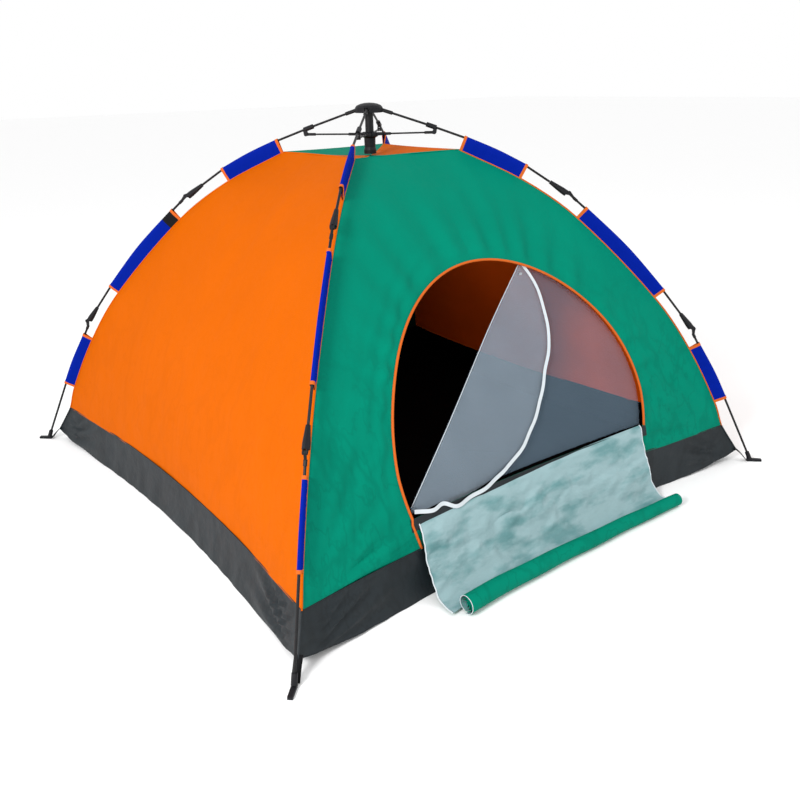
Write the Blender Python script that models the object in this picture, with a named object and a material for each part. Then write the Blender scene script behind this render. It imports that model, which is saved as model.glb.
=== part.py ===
"""Square automatic dome tent, about 2.0 x 2.0 x 1.3 m, as an assembly of separate solids.

Four jointed poles run along the diagonals of the tent, from a hub over the roof down to the feet.
Each pole is drawn once in its own corner plane: r runs outward from the tent's axis, s across the
plane and z up. The door faces -Y, the origin is on the ground at the tent's axis, units are metres.
"""
import math

import bmesh
import bpy
from mathutils import Euler, Matrix, Vector

# ---- driving dimensions -------------------------------------------------------------------------
CORNERS = {"front_left": (-1, -1), "front_right": (1, -1), "back_right": (1, 1), "back_left": (-1, 1)}

HUB_PIN = (0.036, 1.2845)       # hinge of an upper pole under the hub cap, as (r, z)
STRUT_PIN = (0.2265, 1.2050)    # hinge of a strut on its bracket
RUNNER_PIN = (0.044, 1.203)     # where a strut meets the runner
ELBOW_PINS = ((0.6940, 0.9965), (1.1565, 0.5160))
UPPER_ROUTE = ((0.047, 1.2812), (0.0815, 1.270), (0.216, 1.226), (0.329, 1.186),
               (0.442, 1.139), (0.547, 1.086), (0.6245, 1.0356))
MIDDLE_ROUTE = ((0.7080, 0.9805), (0.749, 0.945), (0.902, 0.805), (1.040, 0.652), (1.1059, 0.5698))
LOWER_ROUTE = ((1.1565, 0.496), (1.176, 0.461), (1.243, 0.350), (1.294, 0.250), (1.398, 0.036))
SLEEVE_SPANS = {"upper": (3, 5), "middle": (1, 3), "lower": (1, 3)}   # route points at the ends
SOCKETS = (((0.6255, 1.0349), (0.6830, 0.9957)), ((1.1066, 0.5690), (1.1465, 0.5190)))

POLE_RADIUS = 0.004
FERRULE_RADIUS = 0.0065
SOCKET_RADIUS = (0.0065, 0.011)  # narrow end, fat end
PIN_RADIUS = 0.0028
PIN_PLAY = 0.0003
TONGUE_HALF = 0.0030            # half thickness of a tongue between its cheeks
CHEEK = (0.0034, 0.0068)        # inner and outer face of a cheek, from the corner plane
GAP = 0.0003                    # between solids that touch

SLEEVE_RADII = (0.0075, 0.0135)
CAP_RADIUS, CAP_TOP, CAP_RIM = 0.048, 1.3060, 1.2735
TUBE_RADIUS, TUBE_BORE, TUBE_ENDS = 0.0145, 0.012, (1.146, 1.2775)
RUNNER_BORE = 0.0150

FABRIC = 0.003                  # thickness of every fabric solid
WALL_GAP = 0.0008               # between neighbouring fabric solids
# corner seam of the canopy, bottom to top: height, half side and how far the side's middle sags in
SEAM = ((0.000, 0.960, 0.072), (0.142, 0.914, 0.056), (0.228, 0.892, 0.050), (0.443, 0.810, 0.044),
        (0.629, 0.714, 0.040), (0.916, 0.508, 0.034), (1.042, 0.377, 0.028), (1.147, 0.218, 0.022))
SKIRT_TOP = 0.142
CORNER_LIFT = 0.043             # the tub's corners are held off the ground
ROOF_EDGE, ROOF_SAG = 1.147, 0.014

DOOR_CENTRE, DOOR_RADIUS, DOOR_SILL = 0.350, 0.515, 0.232   # arc centre height, radius along the wall
DOOR_HALF_SILL = 0.522
MESH_INSET = 0.016              # the mesh door hangs this far behind the wall
MESH_FOLD = ((0.205, 0.806), (-0.082, 0.613), (-0.328, 0.407), (-0.498, 0.266))   # free edge, (x, z)
FLAP_HALF = 0.492
FLAP_PROFILE = ((0.0070, 0.212), (0.0190, 0.165), (0.0390, 0.105), (0.0720, 0.048), (0.1150, 0.010),
                (0.1600, 0.004), (0.1900, 0.010), (0.2040, 0.030), (0.2000, 0.050), (0.1860, 0.060))
SLIDER_SIZE = (0.014, 0.005, 0.008)
SLIDER_AT = (0.176, 0.775)      # x and z of the mesh door's zip slider

COLOURS = {"orange": (0.87, 0.17, 0.005), "green": (0.0, 0.28, 0.18), "blue": (0.0, 0.015, 0.30),
           "grey": (0.04, 0.045, 0.055), "black": (0.012, 0.012, 0.014), "silver": (0.45, 0.60, 0.62),
           "net": (0.75, 0.77, 0.78), "plastic": (0.02, 0.02, 0.022), "steel": (0.35, 0.35, 0.36)}


# ---- small tools --------------------------------------------------------------------------------
def material(name, colour, roughness, metallic=0.0):
    mat = bpy.data.materials.new(name)
    mat.use_nodes = True
    shader = mat.node_tree.nodes["Principled BSDF"]
    shader.inputs["Base Color"].default_value = (*colour, 1.0)
    shader.inputs["Roughness"].default_value = roughness
    shader.inputs["Metallic"].default_value = metallic
    return mat


def mesh_from(points, faces):
    mesh = bpy.data.meshes.new("solid")
    mesh.from_pydata([tuple(p) for p in points], [], faces)
    bm = bmesh.new()
    bm.from_mesh(mesh)
    bmesh.ops.recalc_face_normals(bm, faces=bm.faces)
    bm.to_mesh(mesh)
    bm.free()
    return mesh


def put(name, mesh, mat, location=(0, 0, 0), turn=0.0, smooth=True):
    """Makes one named object; turn is its rotation about the vertical."""
    mesh.name = name
    mesh.materials.clear()
    mesh.materials.append(mat)
    if smooth:
        mesh.shade_smooth()
        mesh.set_sharp_from_angle(angle=math.radians(40))
    obj = bpy.data.objects.new(name, mesh)
    obj.location = location
    obj.rotation_euler = Euler((0, 0, turn))
    bpy.context.collection.objects.link(obj)
    return obj


def combine(base, others, operation="UNION"):
    """The union of the meshes, or the base mesh with the others cut away."""
    holder = bpy.data.objects.new("base", base)
    bpy.context.collection.objects.link(holder)
    helpers = []
    for mesh in others:
        helper = bpy.data.objects.new("helper", mesh)
        bpy.context.collection.objects.link(helper)
        helpers.append(helper)
        modifier = holder.modifiers.new("cut", "BOOLEAN")
        modifier.solver = "EXACT"
        modifier.operation = operation
        modifier.object = helper
    graph = bpy.context.evaluated_depsgraph_get()
    result = bpy.data.meshes.new_from_object(holder.evaluated_get(graph))
    for obj in helpers + [holder]:
        bpy.data.objects.remove(obj)
    bm = bmesh.new()
    bm.from_mesh(result)
    bmesh.ops.remove_doubles(bm, verts=bm.verts, dist=0.000001)
    bm.to_mesh(result)
    bm.free()
    return result


def rz(point, s=0.0):
    """A corner-plane point as a vector in the corner's own frame."""
    return Vector((point[0], s, point[1]))


def shifted(mesh, pin):
    """The mesh with its origin moved onto a hinge pin."""
    mesh.transform(Matrix.Translation(-rz(pin)))
    return mesh


def sweep(route, radii, sides=8, bore=0.0):
    """A round bar along corner-plane points, with a radius at each; bore makes it a tube."""
    points, faces = [], []
    count = len(route)
    for i, (here, radius) in enumerate(zip(route, radii)):
        ahead = rz(route[min(i + 1, count - 1)]) - rz(here)
        behind = rz(here) - rz(route[max(i - 1, 0)])
        along = (ahead.normalized() + behind.normalized()).normalized()
        across = Vector((0, 1, 0))
        up = along.cross(across)
        for ring_radius in ([radius, bore] if bore else [radius]):
            for k in range(sides):
                a = 2 * math.pi * (k + 0.5) / sides
                offset = across * math.cos(a) + up * math.sin(a)
                points.append(rz(here) + offset * ring_radius)
    stride = sides * (2 if bore else 1)
    for i in range(count - 1):
        for k in range(sides):
            n = (k + 1) % sides
            a, b = i * stride, (i + 1) * stride
            faces.append((a + k, a + n, b + n, b + k))
            if bore:
                faces.append((a + sides + k, b + sides + k, b + sides + n, a + sides + n))
    for end in (0, (count - 1) * stride):
        if bore:
            for k in range(sides):
                n = (k + 1) % sides
                faces.append((end + k, end + n, end + sides + n, end + sides + k))
        else:
            faces.append(tuple(end + k for k in range(sides)))
    return mesh_from(points, faces)


def pin_bar(pin, radius, half_length, sides=10):
    """A round bar across the corner plane."""
    points, faces = [], []
    for s in (-half_length, half_length):
        for k in range(sides):
            a = 2 * math.pi * k / sides
            points.append(rz((pin[0] + radius * math.cos(a), pin[1] + radius * math.sin(a)), s))
    for k in range(sides):
        n = (k + 1) % sides
        faces.append((k, n, sides + n, sides + k))
    faces += [tuple(range(sides)), tuple(range(2 * sides - 1, sides - 1, -1))]
    return mesh_from(points, faces)


def plate(outline, s_low, s_high):
    """A flat plate in the corner plane between two values of s."""
    count = len(outline)
    points = [rz(p, s) for s in (s_low, s_high) for p in outline]
    faces = [(k, (k + 1) % count, count + (k + 1) % count, count + k) for k in range(count)]
    faces += [tuple(range(count)), tuple(range(2 * count - 1, count - 1, -1))]
    return mesh_from(points, faces)


def link_outline(pin, end, round_radius, end_half):
    """A tapering link in the corner plane, round about the pin and square at its other end."""
    axis = Vector((end[0] - pin[0], end[1] - pin[1])).normalized()
    side = Vector((-axis.y, axis.x))
    centre = Vector(pin)
    outline = []
    for k in range(7):
        a = math.radians(90 + 30 * k)
        outline.append(centre + (axis * math.cos(a) + side * math.sin(a)) * round_radius)
    tip = Vector(end)
    outline += [tip - side * end_half, tip + side * end_half]
    return [tuple(p) for p in outline]


def tongue(pin, end):
    """A flat eye on a pin, which reaches back to the end of its pole."""
    blade = plate(link_outline(pin, end, 0.0062, 0.0040), -TONGUE_HALF, TONGUE_HALF)
    return combine(blade, [pin_bar(pin, PIN_RADIUS + PIN_PLAY, 0.02)], "DIFFERENCE")


def fork(pin, root):
    """Two cheeks and the pin between them, as meshes to be joined to a socket."""
    outline = link_outline(pin, root, 0.0066, 0.0060)
    return [plate(outline, CHEEK[0], CHEEK[1]), plate(outline, -CHEEK[1], -CHEEK[0]),
            pin_bar(pin, PIN_RADIUS, CHEEK[1] + 0.0010)]


def towards(start, end, distance):
    way = Vector((end[0] - start[0], end[1] - start[1])).normalized() * distance
    return (start[0] + way.x, start[1] + way.y)


def turned(profile, sides=20):
    """A solid turned about the vertical axis from (radius, height) points."""
    points, faces, rings = [], [], []
    for radius, z in profile:
        if radius < 1e-6:
            rings.append([len(points)])
            points.append((0, 0, z))
        else:
            rings.append(list(range(len(points), len(points) + sides)))
            points += [(radius * math.cos(2 * math.pi * k / sides),
                        radius * math.sin(2 * math.pi * k / sides), z) for k in range(sides)]
    pairs = list(zip(rings, rings[1:]))
    if len(rings[0]) > 1 and len(rings[-1]) > 1:
        pairs.append((rings[-1], rings[0]))
    for a, b in pairs:
        for k in range(sides):
            n = (k + 1) % sides
            face = [a[k % len(a)], a[n % len(a)], b[n % len(b)], b[k % len(b)]]
            faces.append(tuple(dict.fromkeys(face)))
    return mesh_from(points, faces)


# ---- canopy surface -----------------------------------------------------------------------------
def seam_at(z):
    """Half side and sag of the canopy at a height, smoothly between the seam's points."""
    z = min(max(z, SEAM[0][0]), SEAM[-1][0])
    for i in range(len(SEAM) - 1):
        if z <= SEAM[i + 1][0]:
            break
    before, low, high, after = (SEAM[max(i - 1, 0)], SEAM[i], SEAM[i + 1],
                                SEAM[min(i + 2, len(SEAM) - 1)])
    t = (z - low[0]) / (high[0] - low[0])
    values = []
    for c in (1, 2):
        rise = (high[0] - low[0])
        m0 = (high[c] - before[c]) / (high[0] - before[0]) * rise
        m1 = (after[c] - low[c]) / (after[0] - low[0]) * rise
        values.append((2 * t**3 - 3 * t**2 + 1) * low[c] + (t**3 - 2 * t**2 + t) * m0
                      + (3 * t**2 - 2 * t**3) * high[c] + (t**3 - t**2) * m1)
    return values


def wall_depth(x, z, inset=0.0):
    """How far out the wall lies at a place along it and a height."""
    half, sag = seam_at(z)
    return half - sag * (1 - (x / half) ** 2) - inset


def wall_grid(columns, rows, low, high, inset):
    """Rows of points over a wall, from one corner seam to the other."""
    grid = []
    for j in range(rows + 1):
        z = low + (high - low) * j / rows
        half = seam_at(z)[0] - WALL_GAP - inset
        row = []
        for i in range(columns + 1):
            x = half * (2 * i / columns - 1)
            row.append(Vector((x, -wall_depth(x, z, inset), z)))
        grid.append(row)
    return grid


def skin(outer, inner, closed=False):
    """A closed solid between two grids of points; closed joins the last column to the first."""
    rows, columns = len(outer), len(outer[0])
    points = [p for grid in (outer, inner) for row in grid for p in row]
    base = rows * columns
    faces = []
    spans = columns if closed else columns - 1
    for j in range(rows - 1):
        for i in range(spans):
            n = (i + 1) % columns
            a, b, c, d = (j * columns + i, j * columns + n, (j + 1) * columns + n, (j + 1) * columns + i)
            faces += [(a, b, c, d), (base + d, base + c, base + b, base + a)]
    for i in range(spans):
        n = (i + 1) % columns
        top = (rows - 1) * columns
        faces += [(i, base + i, base + n, n), (top + n, base + top + n, base + top + i, top + i)]
    if not closed:
        for j in range(rows - 1):
            a, b = j * columns, (j + 1) * columns
            faces += [(a, b, base + b, base + a)]
            a, b = a + columns - 1, b + columns - 1
            faces += [(a, base + a, base + b, b)]
    return mesh_from(points, faces)


def door_edge(angle):
    """A point (x, z) of the door's outline; the angle runs from the right sill corner over the top."""
    low_right = math.atan2(DOOR_SILL - DOOR_CENTRE, DOOR_HALF_SILL)
    if angle < -math.pi / 2:
        angle += 2 * math.pi
    if low_right <= angle <= math.pi - low_right:
        half = DOOR_RADIUS * (1.03 - 0.03 * abs(math.sin(angle)))
        return (half * math.cos(angle), DOOR_CENTRE + 0.487 * max(math.sin(angle), 0.0)
                + min(math.sin(angle), 0.0) * DOOR_HALF_SILL)
    reach = (DOOR_SILL - DOOR_CENTRE) / math.sin(angle)
    return (reach * math.cos(angle), DOOR_SILL)


def plain_wall(columns=12, rows=9):
    low, high = SKIRT_TOP + WALL_GAP, ROOF_EDGE - 0.001
    return skin(wall_grid(columns, rows, low, high, 0.0), wall_grid(columns, rows, low, high, FABRIC))


def front_wall():
    """The front wall as rings between the door's outline and the wall's own edge."""
    around, steps = 56, 5
    low, high = SKIRT_TOP + WALL_GAP, ROOF_EDGE - 0.001

    def edge_point(angle):
        """Where a ray from the door's centre leaves the wall."""
        near, far = 0.1, 2.0
        for _ in range(40):
            reach = (near + far) / 2
            x, z = reach * math.cos(angle), DOOR_CENTRE + reach * math.sin(angle)
            inside = low <= z <= high and abs(x) <= seam_at(z)[0] - WALL_GAP - FABRIC
            near, far = (reach, far) if inside else (near, reach)
        return (near * math.cos(angle), DOOR_CENTRE + near * math.sin(angle))

    corners = [(s * (seam_at(z)[0] - WALL_GAP - FABRIC), z) for z in (low, high) for s in (-1, 1)]
    corner_angles = [math.atan2(z - DOOR_CENTRE, x) for x, z in corners]
    angles = [2 * math.pi * k / around - math.pi for k in range(around)]
    for wanted in corner_angles:
        nearest = min(range(around), key=lambda k: abs(angles[k] - wanted))
        angles[nearest] = wanted
    grids = []
    for inset in (0.0, FABRIC):
        grid = []
        for j in range(steps + 1):
            row = []
            for angle in angles:
                inner, outer = door_edge(angle), edge_point(angle)
                t = j / steps
                x, z = (inner[0] + (outer[0] - inner[0]) * t, inner[1] + (outer[1] - inner[1]) * t)
                row.append(Vector((x, -wall_depth(x, z, inset), z)))
            grid.append(row)
        grids.append(grid)
    return skin(grids[0], grids[1], closed=True)


def roof():
    """The flat square on top, a little lower in the middle."""
    cells = 8
    half = seam_at(ROOF_EDGE)[0] + 0.001
    grids = []
    for drop in (0.0, FABRIC):
        grid = []
        for j in range(cells + 1):
            v = 2 * j / cells - 1
            row = []
            for i in range(cells + 1):
                u = 2 * i / cells - 1
                pull = 0.095 * (1 - u * u) * abs(v) ** 3, 0.095 * (1 - v * v) * abs(u) ** 3
                x, y = half * u * (1 - pull[1]), half * v * (1 - pull[0])
                dip = ROOF_SAG * (1 - u * u) * (1 - v * v)
                row.append(Vector((x, y, ROOF_EDGE + 0.0005 + FABRIC - dip - drop)))
            grid.append(row)
        grids.append(grid)
    return skin(grids[0], grids[1])


def tub():
    """The floor with its upturned skirt, an open tray."""
    around = 4 * 10

    def ring(z, lift, inset):
        row = []
        for k in range(around):
            side, i = divmod(k, around // 4)
            x_part = 2 * i / (around // 4) - 1
            half = seam_at(z)[0]
            x = (half - inset) * x_part
            height = z + lift * abs(x_part) ** 6
            spot = Vector((x, -wall_depth(x, z, inset), height))
            row.append(Matrix.Rotation(side * math.pi / 2, 3, "Z") @ spot)
        return row

    outer = [ring(0.0, CORNER_LIFT, 0.0), ring(0.070, 0.5 * CORNER_LIFT, 0.0), ring(SKIRT_TOP, 0.0, 0.0)]
    inner = [ring(0.0, CORNER_LIFT, FABRIC), ring(0.070, 0.5 * CORNER_LIFT, FABRIC),
             ring(SKIRT_TOP, 0.0, FABRIC)]
    for p in inner[0]:
        p.z += FABRIC
    floors = []
    for level, inset in ((0.0, 0.0), (FABRIC, FABRIC)):
        floors.append([[Vector((p.x * t, p.y * t, level)) for p in ring(0.0, 0.0, inset)]
                       for t in (0.80,)])
    points = outer[0] + outer[1] + outer[2] + inner[2] + inner[1] + inner[0] + floors[1][0] + floors[0][0]
    faces = []
    rows = 8
    for j in range(rows):
        for k in range(around):
            n = (k + 1) % around
            a, b = j * around, ((j + 1) % rows) * around
            if j == 6:
                continue
            faces.append((a + k, a + n, b + n, b + k))
    top, under = len(points), len(points) + 1
    points += [Vector((0, 0, FABRIC)), Vector((0, 0, 0))]
    for k in range(around):
        n = (k + 1) % around
        faces += [(6 * around + k, 6 * around + n, top), (7 * around + n, 7 * around + k, under)]
    return mesh_from(points, faces)


def flap():
    """The door's flap, hanging from the sill over the skirt, with its end curled up."""
    columns = 12
    grids = []
    count = len(FLAP_PROFILE)
    for side in (0.0, 1.0):
        grid = []
        for j, (out, z) in enumerate(FLAP_PROFILE):
            before, after = FLAP_PROFILE[max(j - 1, 0)], FLAP_PROFILE[min(j + 1, count - 1)]
            along = Vector((after[0] - before[0], after[1] - before[1])).normalized()
            offset = Vector((-along.y, along.x)) * FABRIC * side
            row = []
            for i in range(columns + 1):
                x = FLAP_HALF * (2 * i / columns - 1)
                level = max(z + offset.y, 0.0)
                row.append(Vector((x, -(wall_depth(x, 0.212) + out + offset.x), level)))
            grid.append(row)
        grids.append(grid)
    return skin(grids[0], grids[1])


def mesh_door():
    """The net door: from its free edge to the right side of the door, behind the wall."""
    rows, columns = 12, 10
    low, high = MESH_FOLD[-1][1], MESH_FOLD[0][1] - 0.012

    def free_edge(z):
        for (x1, z1), (x0, z0) in zip(MESH_FOLD, MESH_FOLD[1:]):
            if z >= z0:
                return x0 + (x1 - x0) * (z - z0) / (z1 - z0)
        return MESH_FOLD[-1][0]

    def right_edge(z):
        angle = math.asin(max(min((z - DOOR_CENTRE) / 0.487, 1.0), -1.0))
        return door_edge(angle)[0] - 0.006 if z > DOOR_CENTRE else 0.515

    grids = []
    for inset in (MESH_INSET, MESH_INSET + 0.002):
        grid = []
        for j in range(rows + 1):
            z = low + (high - low) * j / rows
            left, right = free_edge(z), right_edge(z)
            row = []
            for i in range(columns + 1):
                x = left + (right - left) * i / columns
                row.append(Vector((x, -wall_depth(x, z, inset), z)))
            grid.append(row)
        grids.append(grid)
    return skin(grids[0], grids[1])


# ---- frame pieces -------------------------------------------------------------------------------
def hub_cap():
    """The domed cap, hollow below, with four forks inside for the upper poles."""
    profile = [(0, CAP_TOP), (0.016, CAP_TOP - 0.001), (0.030, CAP_TOP - 0.004), (0.042, CAP_TOP - 0.009),
               (CAP_RADIUS, CAP_TOP - 0.016), (CAP_RADIUS, CAP_RIM), (0.0450, CAP_RIM),
               (0.0450, 1.2920), (0.020, 1.2920), (0.020, 1.2780), (0, 1.2780)]
    cap = turned(profile, 24)
    slots, forks = [], []
    for k in range(4):
        turn = Matrix.Rotation(math.pi / 4 + k * math.pi / 2, 4, "Z")
        slot = plate([(0.0435, 1.2600), (0.0600, 1.2600), (0.0600, 1.2905), (0.0435, 1.2905)],
                     -0.0095, 0.0095)
        slot.transform(turn)
        slots.append(slot)
        for s_low, s_high in ((CHEEK[0], CHEEK[1]), (-CHEEK[1], -CHEEK[0])):
            cheek = plate([(0.0290, 1.2790), (0.0425, 1.2790), (0.0425, 1.2940), (0.0290, 1.2940)],
                          s_low, s_high)
            cheek.transform(turn)
            forks.append(cheek)
        bar = pin_bar(HUB_PIN, PIN_RADIUS, CHEEK[1] + 0.0005)
        bar.transform(turn)
        forks.append(bar)
    return combine(combine(cap, slots, "DIFFERENCE"), forks)


def runner():
    """The sliding ring and its handle, with four pairs of lugs for the struts; their pins are left out."""
    body = turned([(RUNNER_BORE, 1.2100), (0.0240, 1.2100), (0.0300, 1.2060), (0.0300, 1.1960),
                   (0.0200, 1.1900), (0.0190, 1.1600), (0.0215, 1.1500), (0.0215, 1.1375),
                   (RUNNER_BORE, 1.1375)], 20)
    lugs = []
    for k in range(4):
        turn = Matrix.Rotation(math.pi / 4 + k * math.pi / 2, 4, "Z")
        for s_low, s_high in ((0.0072, 0.0100), (-0.0100, -0.0072)):
            lug = plate([(0.0260, 1.1980), (0.0480, 1.1980), (0.0480, 1.2080), (0.0260, 1.2080)],
                        s_low, s_high)
            lug.transform(turn)
            lugs.append(lug)
    return combine(body, lugs)


def bracket():
    """A clamp round the upper pole, with cheeks below it for the strut."""
    start, end = (0.1990, 1.2316), (0.2330, 1.2200)
    ring = sweep((start, end), (0.0082, 0.0082), 12, bore=0.0056)
    return shifted(combine(ring, fork(STRUT_PIN, (0.2290, 1.2175))), HUB_PIN)


def strut():
    """The stretcher between a bracket and the runner."""
    near = towards(STRUT_PIN, RUNNER_PIN, 0.0105)
    collar = towards(STRUT_PIN, RUNNER_PIN, 0.0340)
    far_collar = towards(RUNNER_PIN, STRUT_PIN, 0.0300)
    far = towards(RUNNER_PIN, STRUT_PIN, 0.0056)
    path = (near, collar, towards(collar, far, 0.001), towards(far_collar, near, 0.001), far_collar, far)
    rod = sweep(path, (0.0050, 0.0050, 0.0030, 0.0030, 0.0050, 0.0050))
    return shifted(combine(rod, [tongue(STRUT_PIN, towards(near, far, 0.003))]), STRUT_PIN)


def upper_pole():
    route = [towards(HUB_PIN, UPPER_ROUTE[1], 0.0105), UPPER_ROUTE[1],
             towards(UPPER_ROUTE[1], UPPER_ROUTE[2], 0.001)] + list(UPPER_ROUTE[2:])
    radii = [FERRULE_RADIUS, FERRULE_RADIUS] + [POLE_RADIUS] * (len(route) - 2)
    return shifted(combine(sweep(route, radii), [tongue(HUB_PIN, towards(route[0], route[1], 0.003))]),
                   HUB_PIN)


def jointed_pole(route, pin):
    """A pole with a short ferrule and a tongue at its upper end."""
    ferrule_end = towards(route[0], route[1], 0.016)
    path = [route[0], ferrule_end, towards(ferrule_end, route[1], 0.001)] + list(route[1:])
    radii = [0.0055, 0.0055] + [POLE_RADIUS] * (len(path) - 2)
    return shifted(combine(sweep(path, radii), [tongue(pin, towards(route[0], route[1], 0.003))]), pin)


def socket(ends, pin, origin):
    """A tapered elbow socket with the fork of the next pole's hinge at its fat end."""
    start, end = ends
    radii = (SOCKET_RADIUS[0], SOCKET_RADIUS[1], SOCKET_RADIUS[1])
    body = sweep((start, towards(end, start, 0.016), end), radii, 10)
    return shifted(combine(body, fork(pin, towards(end, start, 0.006))), origin)


def sleeve(route, span, origin):
    first, last = span
    path = list(route[first:last + 1])
    return shifted(sweep(path, [SLEEVE_RADII[1]] * len(path), 8, bore=SLEEVE_RADII[0]), origin)


def foot():
    """The pole's end piece, with a bar that points outward along the ground."""
    end = LOWER_ROUTE[-1]
    top = towards(end, LOWER_ROUTE[-2], -GAP)
    stem = sweep((top, (1.4105, 0.0085)), (0.0080, 0.0085), 8)
    bar = plate([(1.4010, 0.0), (1.4530, 0.0), (1.4530, 0.0080), (1.4010, 0.0100)], -0.0070, 0.0070)
    return shifted(combine(stem, [bar]), ELBOW_PINS[1])


def strap():
    """The webbing from the tub's corner to the foot."""
    return plate([(1.3640, 0.0440), (1.3980, 0.0010), (1.3996, 0.0022), (1.3656, 0.0452)], -0.0125, 0.0125)


# ---- assembly -----------------------------------------------------------------------------------
def build():
    for obj in list(bpy.data.objects):
        bpy.data.objects.remove(obj)
    cloth = {name: material(name, COLOURS[name], 0.8)
             for name in ("orange", "green", "blue", "grey", "net")}
    black = material("black_pole", COLOURS["black"], 0.35)
    plastic = material("black_plastic", COLOURS["plastic"], 0.45)
    webbing = material("webbing", COLOURS["black"], 0.9)
    steel = material("steel", COLOURS["steel"], 0.35, 1.0)
    silver = material("silver_coating", COLOURS["silver"], 0.5)

    put("tub", tub(), cloth["grey"])
    put("wall_front", front_wall(), cloth["green"])
    for name, turn, colour in (("wall_right", 90, "orange"), ("wall_back", 180, "green"),
                               ("wall_left", 270, "orange")):
        put(name, plain_wall(), cloth[colour], turn=math.radians(turn))
    put("roof_panel", roof(), cloth["orange"])
    put("door_flap", flap(), silver)
    put("mesh_door", mesh_door(), cloth["net"])
    put("hub_cap", hub_cap(), plastic)
    put("centre_tube", turned([(TUBE_BORE, TUBE_ENDS[1]), (TUBE_RADIUS, TUBE_ENDS[1]),
                               (TUBE_RADIUS, TUBE_ENDS[0]), (TUBE_BORE, TUBE_ENDS[0])], 24), black)
    put("runner", runner(), plastic)

    slider = plate([(-SLIDER_SIZE[0] / 2, -SLIDER_SIZE[2] / 2), (SLIDER_SIZE[0] / 2, -SLIDER_SIZE[2] / 2),
                    (SLIDER_SIZE[0] / 2, SLIDER_SIZE[2] / 2), (-SLIDER_SIZE[0] / 2, SLIDER_SIZE[2] / 2)],
                   -SLIDER_SIZE[1] / 2, SLIDER_SIZE[1] / 2)
    put("mesh_zip_slider", slider, steel,
        (SLIDER_AT[0], -wall_depth(SLIDER_AT[0], SLIDER_AT[1], MESH_INSET - 0.007), SLIDER_AT[1]))

    routes = {"upper": UPPER_ROUTE, "middle": MIDDLE_ROUTE, "lower": LOWER_ROUTE}
    pins = {"upper": HUB_PIN, "middle": ELBOW_PINS[0], "lower": ELBOW_PINS[1]}
    pieces = {"upper_pole": (upper_pole(), HUB_PIN, black), "strut_bracket": (bracket(), HUB_PIN, plastic),
              "strut": (strut(), STRUT_PIN, black),
              "middle_pole": (jointed_pole(MIDDLE_ROUTE, ELBOW_PINS[0]), ELBOW_PINS[0], black),
              "lower_pole": (jointed_pole(LOWER_ROUTE, ELBOW_PINS[1]), ELBOW_PINS[1], black),
              "upper_elbow": (socket(SOCKETS[0], ELBOW_PINS[0], HUB_PIN), HUB_PIN, plastic),
              "lower_elbow": (socket(SOCKETS[1], ELBOW_PINS[1], ELBOW_PINS[0]), ELBOW_PINS[0], plastic),
              "foot": (foot(), ELBOW_PINS[1], plastic), "corner_strap": (strap(), (0.0, 0.0), webbing)}
    for level, span in SLEEVE_SPANS.items():
        pieces["sleeve_" + level] = (sleeve(routes[level], span, pins[level]), pins[level], cloth["blue"])
    for corner, (sx, sy) in CORNERS.items():
        turn = math.atan2(sy, sx)
        spin = Matrix.Rotation(turn, 3, "Z")
        for piece, (mesh, pin, mat) in pieces.items():
            put(piece + "_" + corner, mesh.copy(), mat, spin @ rz(pin), turn)


build()
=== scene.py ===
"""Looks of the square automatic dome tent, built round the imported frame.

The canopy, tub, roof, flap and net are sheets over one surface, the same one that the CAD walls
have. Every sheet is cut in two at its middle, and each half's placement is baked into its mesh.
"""
import math
import bmesh
import bpy
from mathutils import Matrix, Vector, noise


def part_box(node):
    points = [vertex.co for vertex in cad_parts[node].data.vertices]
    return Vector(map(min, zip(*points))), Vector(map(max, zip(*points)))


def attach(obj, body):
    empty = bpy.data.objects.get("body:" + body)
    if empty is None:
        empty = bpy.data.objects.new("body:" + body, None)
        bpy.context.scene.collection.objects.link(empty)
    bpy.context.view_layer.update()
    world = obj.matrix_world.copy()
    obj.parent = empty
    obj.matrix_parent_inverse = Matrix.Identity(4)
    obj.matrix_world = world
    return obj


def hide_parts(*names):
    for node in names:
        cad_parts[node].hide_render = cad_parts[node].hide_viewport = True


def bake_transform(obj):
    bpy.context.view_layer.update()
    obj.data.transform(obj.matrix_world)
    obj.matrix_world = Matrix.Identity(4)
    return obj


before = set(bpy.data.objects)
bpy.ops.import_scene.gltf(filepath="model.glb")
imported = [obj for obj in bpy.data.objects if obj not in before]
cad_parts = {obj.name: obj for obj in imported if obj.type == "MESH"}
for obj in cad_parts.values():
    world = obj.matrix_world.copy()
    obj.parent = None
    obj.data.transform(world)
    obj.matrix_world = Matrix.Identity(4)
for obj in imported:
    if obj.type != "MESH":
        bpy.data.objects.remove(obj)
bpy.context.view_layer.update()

# ---- sizes, from the frame ----------------------------------------------------------------------
TUB_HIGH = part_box("tub")[1]
HALF = TUB_HIGH[0]                       # half side at the tub's corners
SKIRT = TUB_HIGH[2]                      # top edge of the tub's skirt
ROOF_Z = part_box("wall_back")[1][2]       # top edge of the walls
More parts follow.
